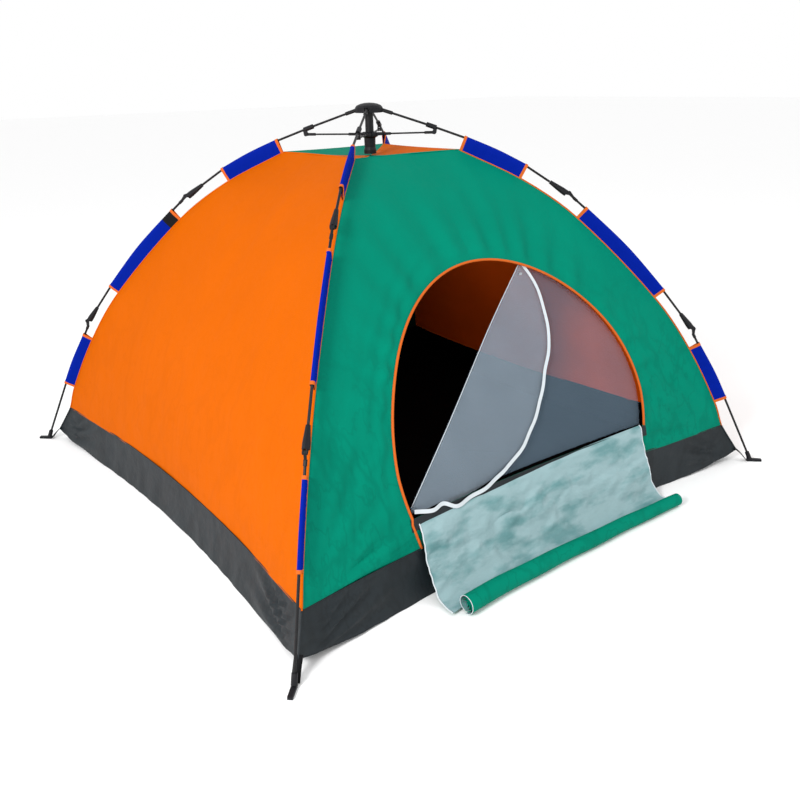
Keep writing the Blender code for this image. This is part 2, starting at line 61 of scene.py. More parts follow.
# corner seam from the ground to the roof: height, half side and how far the side's middle sags in
SEAM = ((0.000, HALF, 0.072), (SKIRT, 0.914, 0.056), (0.228, 0.892, 0.050), (0.443, 0.810, 0.044),
        (0.629, 0.714, 0.040), (0.916, 0.508, 0.034), (1.042, 0.377, 0.028), (ROOF_Z + 0.001, 0.218, 0.022))
CORNER_LIFT = 0.043                      # how far the tub's corners are pulled off the ground
DOOR_Z = 0.350                           # height where the door is widest
DOOR_RADIUS = 0.515                      # half the door's width there
DOOR_RISE = 0.487                        # from there to the top of the door
SILL, SILL_HALF = 0.232, 0.522           # height and half width of the door's sill
SILL_ANGLE = math.atan2(SILL - DOOR_Z, SILL_HALF)
NET_INSET = 0.016                        # how far the net hangs inside the wall
CLOTH = 0.0012                           # thickness of the cloth
SEAM_OUT = 0.0008                        # how far a corner seam stands out of the corner
FLOOR_Z = 0.0012                         # height of the floor's underside
# The inner side's material is painted shade for the dim inside of the tent.
LINED = {"thickness": CLOTH, "offset": -1.0, "inside": 1}        # second material on the inner side
CORNERS = {"front_left": (-1, -1), "front_right": (1, -1), "back_right": (1, 1), "back_left": (-1, 1)}

# the pole through each sleeve, as (distance from the tent's axis, height)
UPPER = ((0.329, 1.186), (0.442, 1.139), (0.547, 1.086))
MIDDLE = ((0.749, 0.945), (0.902, 0.805), (1.040, 0.652))
LOWER = ((1.176, 0.461), (1.243, 0.350), (1.294, 0.250))


# ---- materials ----------------------------------------------------------------------------------
def nodes_of(name):
    """A new material, its node tree and its shader."""
    mat = bpy.data.materials.new(name)
    mat.use_nodes = True
    tree = mat.node_tree
    return mat, tree, tree.nodes["Principled BSDF"]


def mixed(tree, low, high, factor):
    """A colour between low, which is a colour or an output, and the colour high."""
    mix = tree.nodes.new("ShaderNodeMix")
    mix.data_type = "RGBA"
    if isinstance(low, tuple):
        mix.inputs["A"].default_value = (*low, 1)
    else:
        tree.links.new(low, mix.inputs["A"])
    mix.inputs["B"].default_value = (*high, 1)
    tree.links.new(factor, mix.inputs["Factor"])
    return mix.outputs["Result"]


def stretched(tree, where, scale):
    """Coordinates scaled along each axis."""
    node = tree.nodes.new("ShaderNodeMapping")
    node.inputs["Scale"].default_value = scale
    tree.links.new(where, node.inputs["Vector"])
    return node.outputs["Vector"]


def noise_out(tree, scale, detail, where):
    tex = tree.nodes.new("ShaderNodeTexNoise")
    tex.inputs["Scale"].default_value = scale
    tex.inputs["Detail"].default_value = detail
    tree.links.new(where, tex.inputs["Vector"])
    return tex.outputs["Fac"]


def math_out(tree, operation, a, b):
    """The result of a sum or the like on two numbers or outputs."""
    node = tree.nodes.new("ShaderNodeMath")
    node.operation = operation
    for i, value in enumerate((a, b)):
        if isinstance(value, (int, float)):
            node.inputs[i].default_value = value
        else:
            tree.links.new(value, node.inputs[i])
    return node.outputs[0]


def bump(tree, shader, height, strength, distance, below=None):
    """Raises the surface by a height pattern, on top of an earlier bump if one is given."""
    node = tree.nodes.new("ShaderNodeBump")
    node.inputs["Strength"].default_value = strength
    node.inputs["Distance"].default_value = distance
    tree.links.new(height, node.inputs["Height"])
    if below is not None:
        tree.links.new(below, node.inputs["Normal"])
    tree.links.new(node.outputs["Normal"], shader.inputs["Normal"])
    return node.outputs["Normal"]


def crease_shade_lines(tree, where):
    """Branching lines that mark painted shade where thin coated cloth has been folded: up to 1 on a line, 0
    away from it.

    They fade out towards the top, where the canopy is stretched tight."""
    upright = stretched(tree, where, (2.4, 2.4, 0.9))
    ramps = []
    for scale, width in ((2.6, 0.045), (6.5, 0.030)):
        swirl = noise_out(tree, scale, 3.0, upright)
        middle = math_out(tree, "ABSOLUTE", math_out(tree, "SUBTRACT", swirl, 0.5), 0.0)
        ramp = tree.nodes.new("ShaderNodeValToRGB")
        ramp.color_ramp.elements[0].color = (1, 1, 1, 1)
        ramp.color_ramp.elements[1].color = (0, 0, 0, 1)
        ramp.color_ramp.elements[1].position = width
        ramp.color_ramp.interpolation = "EASE"
        tree.links.new(middle, ramp.inputs["Fac"])
        ramps.append(ramp.outputs["Color"])
    parts = tree.nodes.new("ShaderNodeSeparateXYZ")
    tree.links.new(where, parts.inputs["Vector"])
    fade = math_out(tree, "MULTIPLY", math_out(tree, "SUBTRACT", 0.85, parts.outputs["Z"]), 2.2)
    low_down = math_out(tree, "MINIMUM", math_out(tree, "MAXIMUM", fade, 0.08), 1.0)
    return math_out(tree, "MULTIPLY", math_out(tree, "MAXIMUM", *ramps), low_down)


def cloth_material(name, colour, dark=0.84, rough=0.66, thread=0.0011, crease=0.0024, spec=0.03,
                   lines=0.0):
    """Woven coated cloth: a fine plain weave, soft creases and slow changes of colour.

    dark is the share of the colour left in its darker patches, thread the weave's pitch, crease the
    depth of the soft creases and lines the strength of the painted shade along the fold lines."""
    mat, tree, shader = nodes_of(name)
    where = tree.nodes.new("ShaderNodeTexCoord").outputs["Object"]
    slow = noise_out(tree, 5.0, 5.0, where)
    low = tuple(c * dark for c in colour)
    tone = mixed(tree, low, colour, slow)
    if lines:
        # painted shade: the colour is darkened along the fold lines
        folded = math_out(tree, "MULTIPLY", crease_shade_lines(tree, where), lines)
        tone = mixed(tree, tone, tuple(c * 0.45 for c in colour), folded)
    tree.links.new(tone, shader.inputs["Base Color"])
    rough_low = math_out(tree, "MULTIPLY", noise_out(tree, 30.0, 3.0, where), 0.14)
    tree.links.new(math_out(tree, "ADD", rough_low, rough - 0.07), shader.inputs["Roughness"])
    shader.inputs["Specular IOR Level"].default_value = spec
    creases = noise_out(tree, 16.0, 6.0, where)
    soft = bump(tree, shader, creases, 0.35, crease * 4)
    bands = []
    for axis in ("X", "Z"):
        wave = tree.nodes.new("ShaderNodeTexWave")
        wave.bands_direction = axis
        wave.inputs["Scale"].default_value = 0.1 / thread
        tree.links.new(where, wave.inputs["Vector"])
        bands.append(wave.outputs["Fac"])
    bump(tree, shader, math_out(tree, "ADD", bands[0], bands[1]), 0.25, thread * 0.2, soft)
    return mat


def silver_material(name, light, shade):
    """Silvery coated cloth, crumpled; bluish green patches of painted shade, set by a noise pattern, stand
    for the shadows deep in its folds.
    """
    mat, tree, shader = nodes_of(name)
    where = tree.nodes.new("ShaderNodeTexCoord").outputs["Object"]
    sideways = stretched(tree, where, (1.0, 2.6, 2.2))
    # painted shade: the shade colour is laid over the light one in noise-shaped patches
    ramp = tree.nodes.new("ShaderNodeValToRGB")
    ramp.color_ramp.elements[0].position = 0.47
    ramp.color_ramp.elements[1].position = 0.66
    tree.links.new(noise_out(tree, 8.0, 5.0, sideways), ramp.inputs["Fac"])
    tree.links.new(mixed(tree, light, shade, ramp.outputs["Color"]), shader.inputs["Base Color"])
    shader.inputs["Roughness"].default_value = 0.45
    shader.inputs["Specular IOR Level"].default_value = 0.35
    soft = bump(tree, shader, noise_out(tree, 14.0, 7.0, sideways), 0.6, 0.012)
    bump(tree, shader, noise_out(tree, 420.0, 2.0, where), 0.15, 0.0004, soft)
    return mat


def hard_material(name, colour, rough, worn, metallic=0.0, coat=0.0):
    """Moulded plastic or painted metal, with a slight grain and paler worn patches."""
    mat, tree, shader = nodes_of(name)
    where = tree.nodes.new("ShaderNodeTexCoord").outputs["Object"]
    wear = tree.nodes.new("ShaderNodeValToRGB")
    wear.color_ramp.elements[0].position = 0.55
    wear.color_ramp.elements[1].position = 0.85
    tree.links.new(noise_out(tree, 60.0, 8.0, where), wear.inputs["Fac"])
    tree.links.new(mixed(tree, colour, worn, wear.outputs["Color"]), shader.inputs["Base Color"])
    grain = math_out(tree, "MULTIPLY", noise_out(tree, 250.0, 3.0, where), 0.2)
    tree.links.new(math_out(tree, "ADD", grain, rough - 0.1), shader.inputs["Roughness"])
    shader.inputs["Metallic"].default_value = metallic
    shader.inputs["Specular IOR Level"].default_value = 0.20
    shader.inputs["Coat Weight"].default_value = coat
    bump(tree, shader, noise_out(tree, 900.0, 2.0, where), 0.15, 0.0003)
    return mat


def net_material(name, colour, cover):
    """Fine pale netting: a see-through layer, where cover is the share of it that is thread."""
    mat, tree, shader = nodes_of(name)
    where = tree.nodes.new("ShaderNodeTexCoord").outputs["Object"]
    low = tuple(c * 0.86 for c in colour)
    slow = noise_out(tree, 14.0, 5.0, where)
    tree.links.new(mixed(tree, low, colour, slow), shader.inputs["Base Color"])
    shader.inputs["Roughness"].default_value = 0.9
    shader.inputs["Specular IOR Level"].default_value = 0.0
    shader.inputs["Alpha"].default_value = cover
    bump(tree, shader, noise_out(tree, 12.0, 3.0, where), 0.3, 0.003)
    return mat


# lines sets how strongly each cloth is darkened along its fold lines, as painted shade
ORANGE = cloth_material("orange_canopy", (0.560, 0.102, 0.0), dark=0.90, lines=0.07)
# painted shade: the orange cloth's inner side gets the redder brown that the dim inside of the tent shows
ORANGE_SHADED_INSIDE = cloth_material("orange_inside_painted_shade", (0.85, 0.105, 0.004), rough=0.8)
GREEN = cloth_material("green_canopy", (0.0001, 0.212, 0.136), dark=0.82, lines=0.26)
# painted shade: the green cloth's inner side is near-black, as the dim inside of the tent shows
GREEN_SHADED_INSIDE = cloth_material("green_inside_painted_shade", (0.0, 0.030, 0.020), rough=0.8)
BLUE = cloth_material("blue_sleeve", (0.0002, 0.012, 0.270), crease=0.0010)
BINDING = cloth_material("orange_binding", (0.62, 0.125, 0.020), crease=0.0006)
GREY = cloth_material("grey_tub", (0.014, 0.020, 0.024), dark=0.6, rough=0.5, spec=0.22, lines=0.55)
# painted shade: the tub's inner side is near-black, as the dim inside of the tent shows
FLOOR_SHADED_INSIDE = cloth_material("tub_inside_painted_shade", (0.0022, 0.0020, 0.0022), rough=0.8, spec=0.02)
SILVER = silver_material("silver_lining", (0.25, 0.38, 0.40), (0.11, 0.25, 0.26))
TAPE = cloth_material("white_tape", (0.62, 0.67, 0.70), rough=0.7, crease=0.0005)
WEBBING = cloth_material("black_webbing", (0.012, 0.012, 0.013), rough=0.85, thread=0.0022)
NET = net_material("netting", (0.30, 0.43, 0.56), 0.21)
NET_FOLDED = net_material("netting_folded", (0.50, 0.59, 0.68), 0.24)
POLE = hard_material("black_fibreglass", (0.005, 0.005, 0.006), 0.45, (0.014, 0.014, 0.015), coat=0.05)
PLASTIC = hard_material("black_moulded_plastic", (0.006, 0.006, 0.008), 0.5, (0.016, 0.016, 0.018))
STEEL = hard_material("zip_metal", (0.45, 0.45, 0.46), 0.35, (0.6, 0.6, 0.6), metallic=1.0)


# ---- the canopy's surface -----------------------------------------------------------------------
def seam_at(z):
    """Half side and sag at a height, by a smooth curve through the seam's points."""
    z = min(max(z, SEAM[0][0]), SEAM[-1][0])
    i = 0
    while i < len(SEAM) - 2 and z > SEAM[i + 1][0]:
        i += 1
    before, low, high, after = SEAM[max(i - 1, 0)], SEAM[i], SEAM[i + 1], SEAM[min(i + 2, len(SEAM) - 1)]
    rise = high[0] - low[0]
    t = (z - low[0]) / rise
    values = []
    for c in (1, 2):
        m0 = (high[c] - before[c]) / (high[0] - before[0]) * rise
        m1 = (after[c] - low[c]) / (after[0] - low[0]) * rise
        values.append((2 * t**3 - 3 * t**2 + 1) * low[c] + (t**3 - 2 * t**2 + t) * m0
                      + (3 * t**2 - 2 * t**3) * high[c] + (t**3 - t**2) * m1)
    return values


def depth(x, z, inset=0.0):
    """How far out a wall stands from the tent's middle plane at a place along it."""
    half, sag = seam_at(z)
    return half - sag * (1 - (x / half) ** 2) - inset


def on_wall(x, z, inset=0.0):
    """A point on the front wall, or inset behind it."""
    return Vector((x, -depth(x, z, inset), z))


def door_edge(angle):
    """The door's outline as (x, z); the angle runs from the right end of the sill over the top."""
    if angle < -math.pi / 2:
        angle += 2 * math.pi
    rise = math.sin(angle)
    if SILL_ANGLE <= angle <= math.pi - SILL_ANGLE:
        half = DOOR_RADIUS * (1.03 - 0.03 * abs(rise))
        return (half * math.cos(angle), DOOR_Z + DOOR_RISE * max(rise, 0.0) + SILL_HALF * min(rise, 0.0))
    reach = (SILL - DOOR_Z) / rise
    return (reach * math.cos(angle), SILL)


# ---- mesh tools ---------------------------------------------------------------------------------
def add(name, points, faces, materials, smooth=True):
    mesh = bpy.data.meshes.new(name)
    mesh.from_pydata([tuple(p) for p in points], [], faces)
    for mat in materials:
        mesh.materials.append(mat)
    if smooth:
        mesh.shade_smooth()
    obj = bpy.data.objects.new(name, mesh)
    bpy.context.collection.objects.link(obj)
    return obj


def add_grid(name, grid, materials, closed=False):
    rows, columns = len(grid), len(grid[0])
    spans = columns if closed else columns - 1
    faces = [(j * columns + i, j * columns + (i + 1) % columns,
              (j + 1) * columns + (i + 1) % columns, (j + 1) * columns + i)
             for j in range(rows - 1) for i in range(spans)]
    return add(name, [p for row in grid for p in row], faces, materials)


def thicken(obj, thickness, offset=-1.0, inside=0):
    """Gives a sheet its thickness; inside is how far on in the materials its inner side's is."""
    solid = obj.modifiers.new("cloth", "SOLIDIFY")
    solid.thickness = thickness
    solid.offset = offset
    solid.material_offset = inside
    return applied(obj)


def applied(obj):
    graph = bpy.context.evaluated_depsgraph_get()
    mesh = bpy.data.meshes.new_from_object(obj.evaluated_get(graph))
    obj.modifiers.clear()
    obj.data = mesh
    mesh.set_sharp_from_angle(angle=math.radians(50))
    return obj


def turned_grid(grid, quarter):
    spin = Matrix.Rotation(quarter * math.pi / 2, 3, "Z")
    return [[spin @ p for p in row] for row in grid]


def cut_half(obj, axis, sign, name):
    """A copy of the object on one side of the tent's middle plane."""
    half = obj.copy()
    half.data = obj.data.copy()
    half.name = name
    bpy.context.collection.objects.link(half)
    bm = bmesh.new()
    bm.from_mesh(half.data)
    normal = Vector((0, 0, 0))
    normal[axis] = -sign
    bmesh.ops.bisect_plane(bm, geom=bm.verts[:] + bm.edges[:] + bm.faces[:], plane_co=(0, 0, 0),
                           plane_no=normal, clear_outer=True, dist=0.00001)
    bm.to_mesh(half.data)
    bm.free()
    return half


def draw_in(piece):
    """Bakes the piece's placement into its mesh."""
    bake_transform(piece)


def halves(obj, side, node, thick=None):
    """Cuts a piece of one side in two, thickens the halves if asked, hides the CAD part it stands for and
    bakes each half's placement into its mesh.
    """
    axis = 0 if side in (0, 2) else 1
    for sign in (-1, 1):
        word = {0: "left" if sign < 0 else "right", 1: "front" if sign < 0 else "back"}[axis]
        half = cut_half(obj, axis, sign, f"{obj.name}_{word}")
        if not half.data.polygons:
            bpy.data.objects.remove(half)
            continue
        if thick:
            thicken(half, **thick)
        if node:
            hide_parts(node)
        draw_in(half)
    bpy.data.objects.remove(obj)


def tube(name, path, radius, mat, sides=8):
    """A round strand along points, closed at both ends."""
    points, faces = [], []
    count = len(path)
    side = None
    for i, p in enumerate(path):
        along = (path[min(i + 1, count - 1)] - path[max(i - 1, 0)]).normalized()
        if side is None:
            side = along.orthogonal().normalized()
        side = (side - along * side.dot(along)).normalized()
        up = along.cross(side)
        for k in range(sides):
            a = 2 * math.pi * k / sides
            points.append(p + (side * math.cos(a) + up * math.sin(a)) * radius)
    for i in range(count - 1):
        for k in range(sides):
            n = (k + 1) % sides
            faces.append((i * sides + k, i * sides + n, (i + 1) * sides + n, (i + 1) * sides + k))
    faces += [tuple(range(sides))[::-1], tuple((count - 1) * sides + k for k in range(sides))]
    return add(name, points, faces, [mat])


# ---- fabric -------------------------------------------------------------------------------------
# the sides in turn, each with its outer cloth, its inner cloth in painted shade for the dim inside of the
# tent, and its slot
SIDES = (("front", GREEN, GREEN_SHADED_INSIDE, "green_cloth"), ("right", ORANGE, ORANGE_SHADED_INSIDE, "orange_cloth"),
         ("back", GREEN, GREEN_SHADED_INSIDE, "green_cloth"), ("left", ORANGE, ORANGE_SHADED_INSIDE, "orange_cloth"))


def pull_creases(x, z, half):
    """Fine creases that fan out from the corners of a wall, in metres, outward."""
    out = 0.0
    for cx, cz in ((-half, SKIRT), (half, SKIRT)):
        away = math.hypot(x - cx, z - cz)
        angle = math.atan2(z - cz, abs(x - cx) + 1e-6)
        ray = math.sin(angle * 19 + cx + 1.5 * math.sin(angle * 4))
        out += 0.0075 * (ray - 0.5 * ray * ray) * math.exp(-((away - 0.20) / 0.18) ** 2)
    out += 0.0050 * noise.noise(Vector((x * 3.2, z * 3.2, 1.0)))
    out += 0.0034 * noise.noise(Vector((x * 13, z * 6, 4.0)))
    return out


def wall_grid(columns, rows, quarter):
    """A whole wall from the skirt to the roof, creased, at its place round the tent."""
    grid = []
    for j in range(rows + 1):
        z = SKIRT - 0.004 + (ROOF_Z + 0.004 - SKIRT) * j / rows
        half = seam_at(z)[0]
        row = []
        for i in range(columns + 1):
            x = half * (2 * i / columns - 1)
            free = 1 - abs(x / half) ** 6
            row.append(Vector((x, -depth(x, z) - pull_creases(x + 3 * quarter, z, half) * free, z)))
        grid.append(row)
    return turned_grid(grid, quarter)


def plain_walls():
    """The three walls without a door."""
    for quarter, (word, outer, inner, slot) in enumerate(SIDES):
        if quarter > 0:
            obj = add_grid("canopy_" + word, wall_grid(56, 44, quarter), [outer, inner])
            halves(obj, quarter, "wall_" + word, LINED)


def front_wall():
    """Rings from the door's outline to the wall's edges."""
    around, steps = 224, 26
    low, high = SKIRT - 0.004, ROOF_Z

    def wall_edge(angle):
        """The wall's own edge in one direction from the middle of the door."""
        near, far = 0.1, 2.0
        for _ in range(40):
            reach = (near + far) / 2
            x, z = reach * math.cos(angle), DOOR_Z + reach * math.sin(angle)
            inside = low <= z <= high and abs(x) <= seam_at(z)[0]
            near, far = (reach, far) if inside else (near, reach)
        return (near * math.cos(angle), DOOR_Z + near * math.sin(angle))

    corners = [math.atan2(z - DOOR_Z, s * seam_at(z)[0]) for z in (low, high) for s in (-1, 1)]
    angles = [math.pi - 2 * math.pi * k / around for k in range(around)]
    for wanted in corners:
        nearest = min(range(around), key=lambda k: abs(angles[k] - wanted))
        angles[nearest] = wanted
    grid = []
    for j in range(steps + 1):
        t = (j / steps) ** 1.25
        row = []
        for angle in angles:
            inner, outer = door_edge(angle), wall_edge(angle)
            x = inner[0] + (outer[0] - inner[0]) * t
            z = inner[1] + (outer[1] - inner[1]) * t
            half = seam_at(z)[0]
            free = (1 - min(abs(x / half), 1.0) ** 6) * min(1.0, 8 * t)
            beside = min(1.0, max(0.0, (abs(x) - SILL_HALF - 0.01) / 0.06))
            below = min(1.0, max(0.0, (SILL + 0.03 - z) / 0.03))
            free *= 1 - 0.94 * below * (1 - beside)
            gap = math.hypot(x - inner[0], z - inner[1])
            fan = 0.0075 * math.sin(angle * 34 + 2 * math.sin(angle * 5)) * math.exp(-(gap / 0.16) ** 2)
            crumple = 0.35 - abs(noise.noise(Vector((angle * 5, gap * 2.2, 3.0))))
            fan += 0.0140 * crumple * math.exp(-(gap / 0.45) ** 2)
            ripple = 0.0036 * math.sin(gap * 130 + 3 * math.sin(angle * 3))
            ripple *= math.exp(-(gap / 0.10) ** 2) * (0.4 + 0.6 * math.cos(angle - 2.4) ** 2)
            lift = (pull_creases(x, z, half) + fan + ripple) * free
            row.append(Vector((x, -depth(x, z) - lift, z)))
        grid.append(row)
    obj = add_grid("canopy_front", grid, [GREEN, GREEN_SHADED_INSIDE], closed=True)
    halves(obj, 0, "wall_front", LINED)


def roof():
    """Four gores that meet at the middle, each in the colour of its wall."""
    rows, columns = 14, 24
    for quarter, (word, outer, inner, slot) in enumerate(SIDES):
        grid = []
        for j in range(rows + 1):
            t = 0.004 + 0.996 * j / rows
            row = []
            for i in range(columns + 1):
                u = 2 * i / columns - 1
                half, sag = seam_at(ROOF_Z)
                x = half * u * t
                y = -(half - sag * (1 - u * u)) * t
                dip = 0.016 * (1 - t ** 2) - 0.003 * math.sin(3.1 * u) * t * (1 - t)
                row.append(Vector((x, y, ROOF_Z + 0.001 - dip)))
            grid.append(row)
        grid = [row[::-1] for row in turned_grid(grid, quarter)]
        halves(add_grid("roof_" + word, grid, [outer, inner]), quarter, "roof_panel",
               LINED)


def tub():
    """The dark tub: a skirt on each side and a floor, as one sheet from skirt edge to middle."""
    columns = 72
    for quarter, word in enumerate(("front", "right", "back", "left")):
        grid = []
        for height in [SKIRT * (1 - k / 12) for k in range(13)]:
            row = []
            for i in range(columns + 1):
                u = 2 * i / columns - 1
                half = seam_at(height)[0]
                x = half * u
                low = 1 - height / SKIRT
                away = (1 - abs(u)) * half
                fan = math.atan2(height + 0.02, away + 0.02)
                crease = 0.0130 * math.sin(fan * 26 + quarter) * math.exp(-((away - 0.13) / 0.13) ** 2)
                ripple = 0.0030 * math.sin(x * 46 + 3 * math.sin(x * 9 + quarter)) * low
                z = height * (1 - CORNER_LIFT / SKIRT * abs(u) ** 7) + CORNER_LIFT * abs(u) ** 7
                hold = (1 - u ** 8) * math.sin(math.pi * min(1.0, height / SKIRT * 0.94 + 0.06)) ** 0.6
                y = -depth(x, height) - (crease + ripple) * hold
                row.append(Vector((x, y, max(z, FLOOR_Z))))
            grid.append(row)
        edge = grid[-1]
        for t in (0.985, 0.95, 0.88, 0.75, 0.55, 0.3, 0.003):
            row = []
            for p in edge:
                level = FLOOR_Z + (p.z - FLOOR_Z) * max(0.0, (t - 0.75) / 0.25) ** 2
                puff = 0.002 * noise.noise(Vector((p.x * t * 6, p.y * t * 6, 2.0))) + 0.002
                row.append(Vector((p.x * t, p.y * t, level + max(puff, 0.0) * (1 - t) ** 0.5)))
            grid.append(row)
        # the tub's inner side is near-black painted shade
        obj = add_grid("tub_" + word, [row[::-1] for row in turned_grid(grid, quarter)], [GREY, FLOOR_SHADED_INSIDE])
        halves(obj, quarter, "tub", LINED)


def corner_strand(name, corner, points, mat):
    """A seam up a corner, through points given as (distance along each side, height)."""
    sx, sy = CORNERS[corner]
    path = [Vector((sx * (half + SEAM_OUT), sy * (half + SEAM_OUT), z)) for half, z in points]
    seam = tube(name + corner, path, 0.0026, mat)
    draw_in(seam)


def side_strand(name, quarter, height, spans, out, down, radius, mat):
    """A seam along the whole of one side at a height, moved out and down by a little."""
    half = seam_at(height)[0]
    path = []
    for i in range(spans + 1):
        x = half * (2 * i / spans - 1)
        path.append(Vector((x, -depth(x, height) - out, height - down)))
    halves(tube(name, turned_grid([path], quarter)[0], radius, mat), quarter, None)


def seams():
    """Corner seams of the canopy and the tub, the hem between them, and the edge of the roof."""
    upper = [SKIRT + (ROOF_Z - SKIRT) * j / 39 for j in range(40)]
    for corner in CORNERS:
        corner_strand("corner_seam_", corner, [(seam_at(z)[0], z) for z in upper], ORANGE)
        corner_strand("tub_seam_", corner, [(seam_at(SKIRT * j / 11)[0],
                                             CORNER_LIFT + (SKIRT - CORNER_LIFT) * j / 11)
                                            for j in range(12)], GREY)
    for quarter, (word, outer, _, _) in enumerate(SIDES):
        side_strand("hem_" + word, quarter, SKIRT, 60, 0.0004, 0.001, 0.0020, GREY)
        side_strand("roof_edge_" + word, quarter, ROOF_Z, 30, 0.0, 0.0, 0.0022, outer)


def door_piping():
    """The orange piping round the door and down from its left end, and the dark strip on its sill."""
    span = math.pi - 2 * SILL_ANGLE
    path = [on_wall(*door_edge(SILL_ANGLE + span * k / 160), -0.002) for k in range(161)]
    path += [on_wall(-SILL_HALF + 0.026 * k / 6, SILL + (SKIRT - SILL) * k / 6, -0.002)
             for k in range(1, 7)]
    halves(tube("door_piping", path, 0.0040, BINDING, 10), 0, None)
    strip = [[on_wall(SILL_HALF * (2 * k / 60 - 1), z, -0.0022) for k in range(61)]
             for z in (SILL - 0.034, SILL - 0.016, SILL + 0.001)]
    halves(add_grid("door_sill", strip, [GREY]), 0, None,
           thick={"thickness": CLOTH, "offset": 0.0})


# the line that the net is folded on, and the zipped edge of its free part, as (x, z)
NET_FOLD = ((0.196, 0.806), (-0.082, 0.613), (-0.328, 0.407), (-0.500, 0.256))
NET_EDGE = ((0.196, 0.806), (0.213, 0.760), (0.217, 0.700), (0.205, 0.640), (0.185, 0.575),
            (0.138, 0.505), (0.055, 0.387), (-0.056, 0.288), (-0.194, 0.240), (-0.300, 0.226),
            (-0.350, 0.219), (-0.395, 0.240), (-0.440, 0.236), (-0.500, 0.249))


def smooth_curve(points, count):
    """Points evenly spaced along a smooth curve through the given ones."""
    dense = []
    for i in range(len(points) - 1):
        p0, p1 = Vector(points[max(i - 1, 0)]), Vector(points[i])
        p2, p3 = Vector(points[i + 1]), Vector(points[min(i + 2, len(points) - 1)])
        for k in range(20):
            t = k / 20
            dense.append(0.5 * ((2 * p1) + (p2 - p0) * t + (2 * p0 - 5 * p1 + 4 * p2 - p3) * t**2
                                + (3 * p1 - p0 - 3 * p2 + p3) * t**3))
    dense.append(Vector(points[-1]))
    lengths = [0.0]
    for a, b in zip(dense, dense[1:]):
        lengths.append(lengths[-1] + (b - a).length)
    result, j = [], 0
    for k in range(count):
        want = lengths[-1] * k / (count - 1)
        while j < len(lengths) - 2 and lengths[j + 1] < want:
            j += 1
        span = lengths[j + 1] - lengths[j]
        result.append(dense[j].lerp(dense[j + 1], (want - lengths[j]) / span if span else 0.0))
    return result


def net_grid(left, right, columns, inset, wave):
    """Net between two curves of (x, z) points, top to bottom."""
    grid = []
    for a, b in zip(left, right):
        row = []
        for i in range(columns + 1):
            u = i / columns
            p = a.lerp(b, u)
            fold = wave * (math.sin(9 * p.x + 21 * p.y) + 0.6 * math.sin(34 * p.x + 7 * p.y))
            row.append(on_wall(p.x, p.y, inset + fold * min(1, 8 * u, 8 * (1 - u))))
        grid.append(row)
    return grid


def net_door():
    """The net inner door, drawn back to the right: its free part is folded over on itself."""
    fold = smooth_curve(NET_FOLD, 40)
    start = math.atan2(NET_FOLD[0][1] - DOOR_Z, NET_FOLD[0][0])
    right = [door_edge(start + (SILL_ANGLE - start) * k / 30) for k in range(31)]
    bottom = [(SILL_HALF * (1 - 2 * k / 24), SILL + 0.002) for k in range(1, 24)]
    outline = smooth_curve(right + bottom + [(-0.500, 0.240)], 40)
    obj = add_grid("net_single", net_grid(fold, outline, 40, NET_INSET, 0.0012), [NET])
    halves(obj, 0, "mesh_door")
    edge = smooth_curve(NET_EDGE, 40)
    obj = add_grid("net_folded", net_grid(fold, edge, 26, NET_INSET - 0.007, 0.0030), [NET_FOLDED])
    halves(obj, 0, None)
    net_tape()
    path = [on_wall(p.x, p.y, NET_INSET - 0.004) for p in smooth_curve(NET_FOLD, 60)]
    halves(tube("net_fold_edge", path, 0.0012, TAPE, 6), 0, None)


def net_tape():
    """The pale zip tape along the free edge; over the sill it stands further out."""
    fine = smooth_curve(NET_EDGE, 120)
    strip = []
    for k, p in enumerate(fine):
        ahead = fine[min(k + 1, 119)] - fine[max(k - 1, 0)]
        across = Vector((-ahead.y, ahead.x)).normalized()
        wobble = 0.0014 * math.sin(k * 0.55)
        outward = 0.012 + 0.012 * min(1.0, max(0.0, (0.262 - p.y) / 0.03))
        strip.append([on_wall(*(p + across * s), NET_INSET - outward + wobble)
                      for s in (-0.0056, -0.002, 0.002, 0.0056)])
    halves(add_grid("net_zip_tape", strip, [TAPE]), 0, None,
           thick={"thickness": 0.0016, "offset": 0.0})


# the flap from the sill to the ground, as (distance out from the wall, height)
FLAP_Z = 0.225                           # height on the wall that the flap is measured from
FLAP = ((-0.0040, 0.2375), (0.0060, 0.2290), (0.0150, 0.1960), (0.0250, 0.1600), (0.0400, 0.1100),
        (0.0620, 0.0600), (0.0950, 0.0180), (0.1300, 0.0050), (0.1620, 0.0040))


